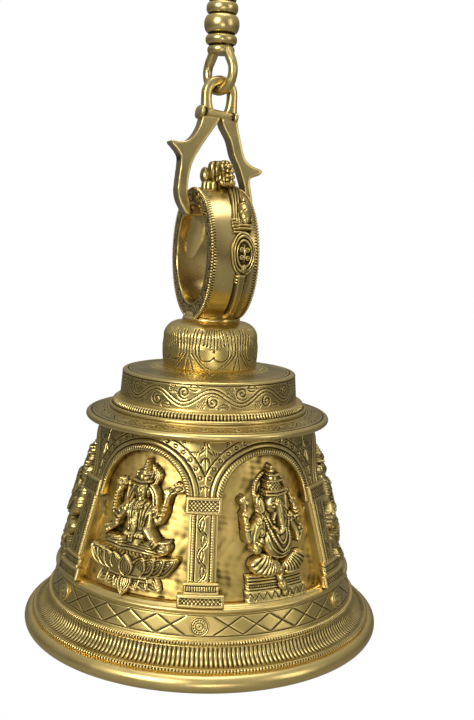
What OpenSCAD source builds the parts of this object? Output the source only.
// Hanging temple bell of cast brass: a hook, a turned link and a barbed yoke carry a ring-topped bell
// with six arched niches, columns between them and seated figures inside them. Millimetres, +Z up.
// Heights inside the modules are measured from the plane of the mouth; place() then lowers everything
// so that the origin is the centre of the hole in the eye that the whole bell hangs from.

/* [Bell body] */
// Diameter across the rim of the mouth
mouth_d = 203; // [199:1:207]
// Height of the crown's seat above the mouth
crown_h = 118; // [117:1:119]
// Radius of the body just under the crown
neck_r = 59.5; // [58.5:0.5:60.5]
// Radius of the body where the niches stand on their ledge
ledge_r = 82.2; // [81.8:0.2:82.6]
// Height of that ledge above the mouth
ledge_h = 38.5; // [38:0.5:39]
// Metal behind the ribs between the niches
wall = 9; // [8.5:0.5:9.5]
// How far the niches are sunk below the ribs
niche_depth = 5; // [4.5:0.5:5]
// Turn of the columns about the bell's axis, in degrees from the ring's axis
niche_turn = -109; // [-119:1:-99]

/* [Columns and arches] */
// Width of a column's shaft
shaft_w = 12.5; // [12:0.5:13]
// How far the columns stand proud of the ribs
column_proud = 2.6; // [2:0.2:3]
// Height of the arches' springing above the mouth
spring_h = 91; // [90:0.5:92]
// Half width of an arch at its springing
arch_half_w = 25; // [24:0.5:26]
// Rise of an arch from its springing to its top
arch_rise = 19.5; // [19:0.5:20]
// Width of the rope moulding around an arch
rope_w = 3.6; // [3:0.2:4]

/* [Shoulder] */
// Radius of the flange over the body
flange_r = 69; // [68:0.5:70]
// Height of the flange's plate
flange_h = 7; // [6.5:0.5:7.5]
// Height of the ribbed moulding
moulding_h = 6; // [5.5:0.5:6.5]
// Height of the scroll drum's wall
drum_h = 15.5; // [15:0.5:16]
// Radius of the scroll drum at its foot
drum_r = 50.3; // [50:0.1:50.6]
// Radius of the lotus dome
dome_r = 27; // [26.5:0.5:27.5]
// Height of the lotus dome
dome_h = 25.7; // [25.2:0.1:26.2]

/* [Ring] */
// Outer radius of the suspension ring
ring_r = 36.8; // [36.4:0.2:37.2]
// Radius of the ring's opening
ring_bore_r = 27.5; // [27:0.25:28]
// Width of the ring's band
ring_w = 27; // [26:0.5:28]

/* [Suspension] */
// Radius of the rod in the link's eyes
eye_rod_r = 2.5; // [2.4:0.05:2.55]
// Radius of the rod in the hook's loop
hook_rod_r = 3; // [2.8:0.1:3.1]
// Turn of the link's eyes about the vertical, in degrees from the ring's axis
link_turn = -66; // [-70:1:-66]
// Radius of the hole in the hanging eye
hanging_hole_r = 6; // [5:0.5:6.5]
// Thickness of the hanging eye
hanging_eye_t = 9; // [8:0.5:10]

/* [Clapper] */
// Radius of the clapper's ball
ball_r = 15; // [14:0.5:15.5]
// Height of the ball's centre above the mouth
ball_h = 16; // [16:0.5:18]

/* [Hidden] */
$fn = 96;
rod_fn = 32;
play = 0.3;           // gap between rods that hang on each other
brass = "#b09440";
old_brass = "#8c7432";
niche_count = 6;
floor_h = ledge_h + 0.4;                   // floor of the niches
sector = 360 / niche_count;
mouth_r = mouth_d / 2;
rim_r = 5;                                 // rolled edge of the mouth
band_foot_h = 23.6;                        // lower line of the diamond band
band_foot_r = 86.3;
flute_top_h = 19;                          // fluted flare of the lip
flute_top_r = 88.2;
flute_foot_h = 9.6;
flute_foot_r = 98.2;
arch_r = (arch_half_w * arch_half_w + arch_rise * arch_rise) / (2 * arch_rise);
band_top_h = 34.4;                         // upper line of the diamond band
band_top_r = 83.4;
crown_t = 6;                               // thickness of the body's crown
bolt_r = 5;
bolt_hole_r = 5.2;
flange_top = crown_h + flange_h;
moulding_top = flange_top + moulding_h;
drum_edge = moulding_top + drum_h;
dome_foot = drum_edge + 2.3;               // the drum's top rises gently to the dome
dome_top = dome_foot + dome_h;
ring_foot_r = 16.3;
ring_h = dome_top + 1.1 + ring_r - 0.4;    // height of the ring's centre
tip_r = 3.2;                               // round tips of the yoke, inside the ring
tip_h = ring_h + ring_bore_r - tip_r - play;
neck_run = 9.4;                            // straight length of an eye's sides up to the collar
neck = 33.2;                               // from the link's middle to the end of its turned shaft
eye_slope = 32;                            // where those sides leave the eye's round
yoke_t = 9.6;                              // thickness of the yoke across its plane
arch_rod_r = 2.7;                          // round bow at the top of the yoke
bow_r = 7.4;
eye_bar_h = tip_h + 65.4;                  // lower bar of the link's lower eye
bow_h = eye_bar_h + eye_rod_r + arch_rod_r + play - bow_r;
eye_r = 10.2;                              // centreline radius of the link's eyes
link_half = 52.8;                          // from the link's middle to its eye bar
link_mid = eye_bar_h + link_half;
hook_bar_h = link_mid + link_half - eye_rod_r - hook_rod_r - play;
hook_r = 9.8;                              // centreline radius of the hook's loop
hang_h = hook_bar_h + 2 * hook_r + 17;     // centre of the hanging hole above the mouth
staple_rod_r = 2.4;
staple_r = 6.5;
staple_bar_h = 89.5;
clapper_rod_r = 2.2;
clapper_eye_r = 6;
clapper_eye_top = staple_bar_h + staple_rod_r + clapper_rod_r + play;
crest_shift = 3;                           // the emblems stand a little off the ring's middle

// ---------- shared shapes ----------

module place() { translate([0, 0, -hang_h]) children(); }

// Points of an arc about [x, y].
function arc(x, y, r, from, to, steps = 8) =
    [for (i = [0:steps]) let (a = from + (to - from) * i / steps) [x + r * cos(a), y + r * sin(a)]];

// Half round bead on a turned profile: from its foot radius out to its crown radius and back.
function bead(h, half, foot, crown, steps = 8) =
    [for (i = [0:steps]) let (a = -90 + 180 * i / steps)
        [foot + (crown - foot) * cos(a), h + half * sin(a)]];

// Radius of the ribs between the niches at a height above the mouth.
function body_r(h) = ledge_r + (neck_r - ledge_r) * (h - ledge_h) / (crown_h - ledge_h);

// Fluted flare of the lip, a quarter of an ellipse that is hollow to the outside.
function flare(steps = 8) =
    [for (i = [0:steps]) let (a = 90 * i / steps)
        [flute_foot_r - (flute_foot_r - flute_top_r) * cos(a),
         flute_top_h - (flute_top_h - flute_foot_h) * sin(a)]];

module turned(points, sides = $fn) { rotate_extrude($fn = sides) polygon(points); }

module rod(a, b, r) {
    d = b - a;
    turn = atan2(d[1], d[0]);
    lean = acos(d[2] / norm(d));
    translate(a) rotate([0, lean, turn]) cylinder(h = norm(d), r = r, $fn = rod_fn);
}

// Bent rod in the XZ plane about the origin, from one angle to another.
module bent_rod(bend_r, r, from, to) {
    rotate([90, 0, 0]) rotate([0, 0, from])
        rotate_extrude(angle = to - from, $fn = 64) translate([bend_r, 0]) circle(r, $fn = rod_fn);
}

// Stands the children at every column (odd = 0) or in every niche (odd = 0.5), from first in steps.
module around(first = 0, step = 1, odd = 0) {
    for (i = [first:step:niche_count - 1]) rotate([0, 0, niche_turn + sector * (i + odd)]) children();
}

// A skin that follows the body's cone between two depths, outwards positive.
module body_skin(inner, outer, from = ledge_h, to = crown_h) {
    turned([[body_r(from) + inner, from], [body_r(from) + outer, from],
            [body_r(to) + outer, to], [body_r(to) + inner, to]]);
}

// An outline drawn as [across, up], stood up facing +X and kept between two depths of the body.
module relief(inner, outer) {
    intersection() {
        translate([40, 0, 0]) rotate([90, 0, 90]) linear_extrude(60) children();
        body_skin(inner, outer);
    }
}

// ---------- suspension ----------

module hanging_hook() {
    color(brass) difference() {
        union() {
            translate([0, hanging_eye_t / 2, hang_h]) rotate([90, 0, 0]) cylinder(h = hanging_eye_t, r = 12);
            translate([0, 0, hook_bar_h + 2 * hook_r]) cylinder(h = 10, r = 5);
            turned([for (p = bead(hook_bar_h + 2 * hook_r + 4, 2.4, 4, 7.4)) p]);
            translate([0, 0, hook_bar_h + hook_r]) rotate([0, 0, link_turn + 90])
                bent_rod(hook_r, hook_rod_r, 0, 360);
        }
        translate([0, hanging_eye_t, hang_h]) rotate([90, 0, 0])
            cylinder(h = 2 * hanging_eye_t, r = hanging_hole_r);
    }
}

// One end of the link: a pear-shaped eye below a collar.
module link_eye() {
    leave = [eye_r * cos(eye_slope), eye_r * sin(eye_slope)];
    translate([0, 0, eye_r]) {
        bent_rod(eye_r, eye_rod_r, -180 - eye_slope, eye_slope);
        for (s = [-1, 1]) {
            translate([s * leave[0], 0, leave[1]]) sphere(r = eye_rod_r + 0.06, $fn = rod_fn);
            rod([s * leave[0], 0, leave[1]], [s * (leave[0] - neck_run * sin(eye_slope)), 0,
                leave[1] + neck_run * cos(eye_slope)], eye_rod_r);
        }
    }
}

module turned_link() {
    color(brass) translate([0, 0, link_mid]) rotate([0, 0, link_turn]) {
        turned(concat([[0, -neck]], bead(2 - neck, 2, 6.6, 7.5), bead(-25.8, 2.6, 7, 8.8),
            bead(-17.6, 4.8, 7.2, 9.7), bead(-9.2, 2.9, 7.4, 8.7), bead(9.2, 2.9, 7.4, 8.7),
            bead(17.6, 4.8, 7.2, 9.7), bead(25.8, 2.6, 7, 8.8), bead(neck - 2, 2, 6.6, 7.5),
            [[0, neck]]), 96);
        for (up = [0, 1]) mirror([0, 0, up]) translate([0, 0, -link_half]) link_eye();
    }
}

// Outline of one arm of the yoke in its own plane, as [outwards, height above the tips], from the
// collar down the outside with its barb to the tip's axis, then up the inside.
function high_arm() =
    [[7.5, 50.6], [10.8, 50.6], [11.9, 46], [14.7, 40.6], [18.7, 37.1], [23.4, 36.6], [26.8, 37.1],
     [28.2, 36.3], [25.7, 33.4], [23.2, 30.4], [22.1, 27.6], [22.7, 21.5], [23.5, 13.5], [23.6, 9],
     [22.7, 5], [20.9, 1.2], [19.6, -1.6], [17.9, -3.8], [16.2, -3.8], [16.2, 3.6], [17.5, 9],
     [17.5, 14], [16.6, 21.5], [14.1, 28.6], [8.3, 38.2], [1.2, 48.5], [1.2, 50.6]];

function low_arm() =
    [[7.5, 50.6], [10.8, 50.6], [10.8, 46], [12, 39], [13.8, 32.5], [15.6, 28.6], [19.5, 25.6],
     [24, 24.2], [25.6, 22.8], [24, 20.8], [20, 19.4], [18.4, 18.6], [18.4, 16], [19.6, 11],
     [20.4, 6], [20.6, 2], [19.6, -1.6], [17.9, -3.8], [15.4, -3.8], [15.4, 3.6], [15.4, 12.5],
     [13.6, 19], [11.2, 24.5], [8.2, 31], [5.6, 39], [1.2, 46.5], [1.2, 50.6]];

module yoke_strap() {
    leg_low = tip_h + 49;
    color(brass) {
        translate([0, 0, bow_h]) bent_rod(bow_r, arch_rod_r, 0, 180);
        for (s = [-1, 1]) {
            rod([s * bow_r, 0, leg_low], [s * bow_r, 0, bow_h], arch_rod_r);
            translate([0, 0, tip_h]) rotate([90, 0, 0]) mirror([s < 0 ? 1 : 0, 0, 0])
                linear_extrude(yoke_t, center = true) polygon(s < 0 ? high_arm() : low_arm());
            rod([s * 17, 0, tip_h], [s * 6, 0, tip_h], tip_r);
        }
    }
}

module yoke_collar() {
    collar_h = 6.4;
    color(old_brass) translate([0, 0, tip_h + 50.6]) difference() {
        translate([-12.4, -6, 0]) cube([23.4, 12, collar_h]);
        for (s = [-1, 1])
            translate([s * bow_r, 0, -1]) cylinder(h = collar_h + 2, r = arch_rod_r + 0.01, $fn = rod_fn);
    }
}

// ---------- ring ----------

module suspension_ring() {
    edge = 1.2;
    color(brass) difference() {
        union() {
            translate([0, 0, ring_h]) rotate([0, 90, 0]) turned([
                [ring_bore_r, -ring_w / 2 + edge], [ring_bore_r + edge, -ring_w / 2],
                [ring_r - edge, -ring_w / 2], [ring_r, -ring_w / 2 + edge],
                [ring_r, ring_w / 2 - edge], [ring_r - edge, ring_w / 2],
                [ring_bore_r + edge, ring_w / 2], [ring_bore_r, ring_w / 2 - edge]]);
            translate([0, 0, dome_top]) cylinder(h = 6, r = ring_foot_r);
        }
        translate([-ring_w, 0, ring_h]) rotate([0, 90, 0]) cylinder(h = 2 * ring_w, r = ring_bore_r);
        translate([0, 0, dome_top - 1]) cylinder(h = 6, r = bolt_hole_r);
    }
}

// Keeps only what stands outside the ring's band.
module on_ring() {
    difference() {
        children();
        translate([-ring_w, 0, ring_h]) rotate([0, 90, 0]) cylinder(h = 2 * ring_w, r = ring_r);
    }
}

// Places the children on the band at an angle from the top towards -Y, a radius out from the centre.
module on_band(angle, r, across = crest_shift) {
    translate([0, 0, ring_h]) rotate([angle, 0, 0]) translate([across, 0, r]) children();
}

module ring_crest() {
    color(old_brass) on_ring() union() {
        on_band(0, ring_r, -2.5) cylinder(h = 3, r = 6);
        for (x = [-8, -2, 2.6]) on_band(4, ring_r + 6.2 + (x > -8 ? 3 : 0), x) sphere(r = 3.8, $fn = 24);
        on_band(0, ring_r - 1, -8) cylinder(h = 7, r = 2);
        on_band(14, ring_r + 2.6, 3.6) sphere(r = 4.4, $fn = 24);
        on_band(13, ring_r + 7.4, 3.6) sphere(r = 3.4, $fn = 24);
    }
}

module wheel_emblem() {
    color(old_brass) on_ring() union() {
        on_band(90, ring_r - 0.6) cylinder(h = 4.2, r = 7.4, $fn = 40);
        on_band(90, ring_r - 0.6) cylinder(h = 5.2, r = 2, $fn = 24);
        on_band(102, ring_r - 1.5) cylinder(h = 5, r = 2.8, $fn = 24);
        intersection() {
            translate([crest_shift - 2.4, -60, ring_h - 31]) cube([4.8, 60, 23]);
            translate([-ring_w, 0, ring_h]) rotate([0, 90, 0]) cylinder(h = 2 * ring_w, r = ring_r + 3.2);
        }
        on_band(64, ring_r - 0.5) cylinder(h = 4.5, r = 3.6, $fn = 24);
        on_band(52, ring_r - 0.5) cylinder(h = 3.6, r = 2.4, $fn = 24);
        on_band(32, ring_r - 0.5, crest_shift - 0.5) cylinder(h = 3.2, r = 2.8, $fn = 24);
    }
}

module wheel_emblem_front() { place() wheel_emblem(); }
module wheel_emblem_back() { place() mirror([0, 1, 0]) wheel_emblem(); }

// ---------- crown stack ----------

module lotus_dome() {
    color(brass) turned(concat(
        [[bolt_hole_r, dome_foot], [dome_r, dome_foot], [dome_r + 0.2, dome_foot + 2.5],
         [dome_r - 0.4, dome_foot + 14]],
        arc(dome_r - 8.6, dome_top - 8.2, 8.2, 0, 90, 8),
        [[ring_foot_r, dome_top], [bolt_hole_r, dome_top]]));
}

module scroll_drum() {
    shell = 4;
    color(brass) turned([
        [drum_r - shell, moulding_top], [drum_r, moulding_top], [drum_r - 1.3, drum_edge - 0.8],
        [drum_r - 1.9, drum_edge], [drum_r - 3, drum_edge + 0.3], [dome_r, dome_foot],
        [bolt_hole_r, dome_foot], [bolt_hole_r, dome_foot - shell], [drum_r - 2 * shell, drum_edge - shell],
        [drum_r - shell - 1, drum_edge - shell - 2]]);
}

module ribbed_moulding() {
    color(brass) turned(concat(
        [[drum_r - 8, flange_top], [drum_r + 5.6, flange_top]],
        arc(drum_r + 2.2, flange_top + 2.4, 3.7, -30, 60, 6),
        [[drum_r + 0.4, moulding_top], [drum_r - 8, moulding_top]]));
}

module shoulder_flange() {
    edge = 1.8;
    color(brass) turned(concat(
        [[bolt_hole_r, crown_h], [neck_r, crown_h], [flange_r - 3.5, crown_h + 1.5]],
        arc(flange_r - edge, crown_h + 3.4, edge, -75, 90, 6),
        [[flange_r - 5, crown_h + 5.4], [drum_r + 6.2, flange_top], [bolt_hole_r, flange_top]]));
}

// ---------- bell ----------

// Outline of a niche: straight sides between the columns and a round arch on top.
module niche_outline(grow = 0) {
    foot_w = body_r(ledge_h) * sin(sector / 2) - shaft_w / 2 - 1.5 + grow;
    side_w = body_r(spring_h) * sin(sector / 2) - shaft_w / 2 - 1 + grow;
    low_h = spring_h - 8.2;
    mid_h = spring_h + arch_rise - arch_r;
    start = asin((low_h - mid_h) / (arch_r + grow));
    polygon(concat(
        [[-side_w, low_h], [-foot_w, floor_h], [foot_w, floor_h], [side_w, low_h]],
        arc(0, mid_h, arch_r + grow, start, 180 - start, 28)));
}

module niche_pocket() {
    intersection() {
        translate([40, 0, 0]) rotate([90, 0, 90]) linear_extrude(60) niche_outline();
        body_skin(-niche_depth, 20, ledge_h - 3, crown_h + 3);
    }
}

module bell_shell() {
    inner_foot_r = mouth_r - 10;
    color(brass) difference() {
        turned(concat(
            [[inner_foot_r, 0]], arc(mouth_r - rim_r, rim_r, rim_r, -90, 60, 10),
            [[flute_foot_r, flute_foot_h]], [for (i = [1:7]) flare()[8 - i]],
            [[flute_top_r, flute_top_h], [87.6, 22], [band_foot_r, band_foot_h], [band_top_r, band_top_h]],
            arc(83, 36.2, 1.2, -50, 50, 4), [[ledge_r, 38], [ledge_r, ledge_h],
             [neck_r, crown_h], [bolt_hole_r, crown_h], [bolt_hole_r, crown_h - crown_t],
             [body_r(crown_h - crown_t) - wall, crown_h - crown_t], [ledge_r - wall, ledge_h],
             [ledge_r - wall + 5.5, 22], [inner_foot_r - 2.5, 7]]));
        around(odd = 0.5) niche_pocket();
    }
}

// A block on a rib, as wide as given, between two heights, standing proud of the body.
module rib_block(w, from, to, proud) {
    relief(0, proud) translate([-w / 2, from]) square([w, to - from]);
}

module column_shafts() {
    color(brass) around() rib_block(shaft_w, 50, spring_h - 8.2, column_proud - 0.6);
}

module column_capitals() {
    color(brass) around() rib_block(18.2, spring_h - 8.2, spring_h, column_proud + 0.6);
}

module column_bases() {
    color(brass) around() {
        rib_block(18, 44.4, 50, column_proud);
        rib_block(23.8, ledge_h, 44.4, column_proud + 0.8);
    }
}

module arch_mouldings() {
    color(brass) around(odd = 0.5) relief(0, 1.4) intersection() {
        difference() {
            niche_outline(rope_w);
            niche_outline(0);
        }
        translate([-60, spring_h]) square([120, 40]);
    }
}

// ---------- figures ----------

// Seated four-armed figure: crown, head, shoulders, folded legs and two raised arms.
module goddess_outline() {
    translate([0, 91]) circle(r = 4.6, $fn = 32);
    polygon([[-4, 93], [4, 93], [1.2, 105], [-1.2, 105]]);
    polygon([[-9, 84], [-3, 88], [3, 88], [9, 84], [7, 70], [-7, 70]]);
    polygon([[-20, 58], [20, 58], [16, 66], [6, 72], [-6, 72], [-16, 66]]);
    for (s = [-1, 1]) {
        polygon([[s * 7, 76], [s * 15, 72], [s * 18, 84], [s * 15, 92], [s * 12, 90], [s * 13, 80],
            [s * 8, 84]]);
        translate([s * 15.5, 92]) circle(r = 3.4, $fn = 24);
    }
}

// Seated elephant-headed figure: tall crown, broad head with ears, round belly, folded legs.
module elephant_outline() {
    polygon([[-5, 94], [5, 94], [3, 104], [-3, 104]]);
    translate([0, 88]) circle(r = 8, $fn = 32);
    for (s = [-1, 1]) {
        translate([s * 9, 87]) circle(r = 4.6, $fn = 24);
        polygon([[s * 7, 80], [s * 16, 76], [s * 17, 88], [s * 13, 90], [s * 11, 82]]);
    }
    translate([0, 71]) circle(r = 12, $fn = 40);
    polygon([[-19, 54], [19, 54], [17, 64], [-17, 64]]);
}

module goddess_reliefs() {
    color(old_brass) around(0, 2, -0.5) relief(-niche_depth, 2.5) goddess_outline();
}

module elephant_reliefs() {
    color(old_brass) around(0, 2, 0.5) relief(-niche_depth, 2) elephant_outline();
}

module lotus_seats() {
    color(old_brass) around(0, 2, -0.5) relief(-niche_depth, 2.5)
        polygon([[-14, floor_h], [14, floor_h], [15, 48], [21, 58], [-21, 58], [-15, 48]]);
}

module stepped_seats() {
    color(old_brass) around(0, 2, 0.5) relief(-niche_depth, 2)
        polygon([[-19.5, floor_h], [19.5, floor_h], [19.5, 46], [18, 46], [18, 54], [-18, 54],
            [-18, 46], [-19.5, 46]]);
}

// Small round rosettes on the diamond band, one under each column.
module band_rosettes() {
    proud = 1.3;
    color(brass) intersection() {
        around() translate([40, 0, (band_foot_h + band_top_h) / 2]) rotate([0, 90, 0])
            cylinder(h = 60, r = 5, $fn = 40);
        turned([[band_foot_r, band_foot_h], [band_foot_r + proud, band_foot_h],
                [band_top_r + proud, band_top_h], [band_top_r, band_top_h]]);
    }
}

// ---------- inside ----------

module centre_bolt() {
    color("#7a6a45") {
        translate([0, 0, staple_bar_h + 2 * staple_r])
            cylinder(h = dome_top + 4.5 - staple_bar_h - 2 * staple_r, r = bolt_r, $fn = 48);
        translate([0, 0, staple_bar_h + staple_r]) bent_rod(staple_r, staple_rod_r, 0, 360);
    }
}

module crown_washer() {
    color("#7a6a45") translate([0, 0, crown_h - crown_t - 2]) difference() {
        cylinder(h = 2, r = 12);
        translate([0, 0, -1]) cylinder(h = 4, r = bolt_hole_r);
    }
}

module crown_nut() {
    color("#7a6a45") translate([0, 0, crown_h - crown_t - 8.5]) difference() {
        cylinder(h = 6.5, r = 9.8, $fn = 6);
        translate([0, 0, -1]) cylinder(h = 9, r = bolt_hole_r - 0.15);
    }
}

module clapper_rod() {
    eye_mid = clapper_eye_top - clapper_eye_r;
    color("#7a6a45") {
        translate([0, 0, eye_mid]) rotate([0, 0, 90]) bent_rod(clapper_eye_r, clapper_rod_r, 0, 360);
        translate([0, 0, ball_h + ball_r - 0.4])
            cylinder(h = eye_mid - clapper_eye_r - ball_h - ball_r + 0.4, r1 = 3.6, r2 = 2.8, $fn = 40);
    }
}

module clapper_ball() {
    color("#7a6a45") intersection() {
        translate([0, 0, ball_h]) sphere(r = ball_r, $fn = 64);
        translate([-20, -20, ball_h - ball_r + 1.2]) cube([40, 40, 2 * ball_r - 1.6]);
    }
}

module clapper_tip() {
    color("#7a6a45") translate([0, 0, ball_h - ball_r + 0.2]) cylinder(h = 1, r = 3, $fn = 32);
}

place() hanging_hook();
place() turned_link();
place() yoke_strap();
place() yoke_collar();
place() suspension_ring();
place() ring_crest();
wheel_emblem_front();
wheel_emblem_back();
place() lotus_dome();
place() scroll_drum();
place() ribbed_moulding();
place() shoulder_flange();
place() bell_shell();
place() column_shafts();
place() column_capitals();
place() column_bases();
place() arch_mouldings();
place() goddess_reliefs();
place() lotus_seats();
place() elephant_reliefs();
place() stepped_seats();
place() band_rosettes();
place() centre_bolt();
place() crown_washer();
place() crown_nut();
place() clapper_rod();
place() clapper_ball();
place() clapper_tip();
